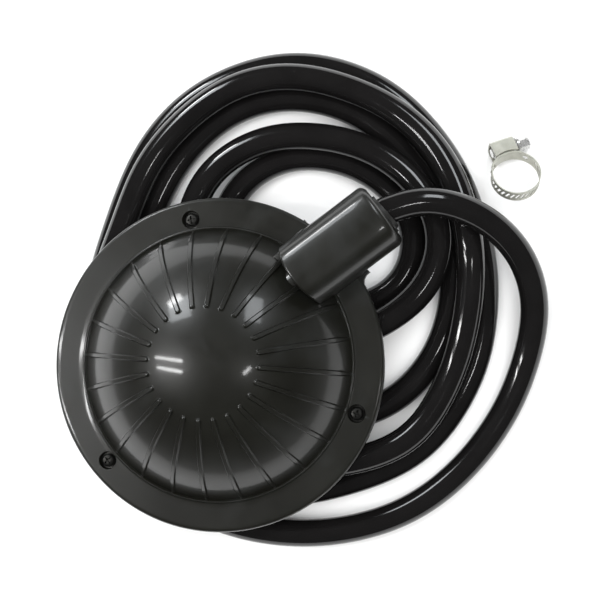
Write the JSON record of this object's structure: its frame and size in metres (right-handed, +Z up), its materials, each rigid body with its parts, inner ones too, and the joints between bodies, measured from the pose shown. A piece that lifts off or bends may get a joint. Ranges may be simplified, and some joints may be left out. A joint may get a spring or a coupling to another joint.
{
  "type": "suction cleaner head with hose",
  "caption": "Low domed suction head with a round flange, thin radial ribs and a side port, on a loose coil of black hose, with a loose steel hose clamp.",
  "frame": {"origin": "centre of the head's standing face, on the dome's axis", "axes": "+Z up along the dome's axis, +X out of the hose port"},
  "size_m": [0.3135, 0.282, 0.09],
  "materials": {
    "cover": "black moulded plastic, satin flange and glossy dome",
    "base": "black moulded plastic",
    "valve_plastic": "black moulded plastic",
    "seal_rubber": "black rubber",
    "grommet_rubber": "black rubber",
    "hose_vinyl": "glossy black flexible vinyl",
    "screen_steel": "perforated stainless steel",
    "ballast_iron": "painted cast iron",
    "screw_steel": "darkened steel",
    "brass": "plain brass",
    "clamp_steel": "bright stainless strip",
    "clamp_screw_steel": "bright plated steel"
  },
  "bodies": {
    "head": {"cover_shell": "cover", "cover_gasket": "seal_rubber", "base_plate": "base", "foot_pads": "seal_rubber", "strainer_screen": "screen_steel", "ballast_ring": "ballast_iron", "cover_screws": "screw_steel", "screw_washers": "screw_steel", "screw_inserts": "brass", "valve_seat": "valve_plastic", "valve_seal": "seal_rubber", "valve_pin": "screw_steel", "hose_barb": "brass", "barb_seal": "seal_rubber", "port_grommet": "grommet_rubber", "suction_hose": "hose_vinyl"},
    "flap": {"valve_flap": "valve_plastic", "flap_pad": "seal_rubber"},
    "clamp": {"clamp_band": "clamp_steel", "clamp_housing": "clamp_steel"},
    "worm": {"clamp_screw": "clamp_screw_steel"}
  },
  "joints": [
    {"name": "flap_swing", "type": "hinge", "parent": "head", "child": "flap", "pos_m": [0.0808, 0, 0.033], "axis": [0, -1, 0], "range_deg": [0, 55]},
    {"name": "clamp_lift", "type": "slide", "parent": "head", "child": "clamp", "axis": [0, 0, 1], "range_m": [0, 0.1]},
    {"name": "worm_turn", "type": "hinge", "parent": "clamp", "child": "worm", "pos_m": [0.20275, -0.0109, -0.02411], "axis": [0.9018, -0.3462, -0.2588], "continuous": true}
  ]
}
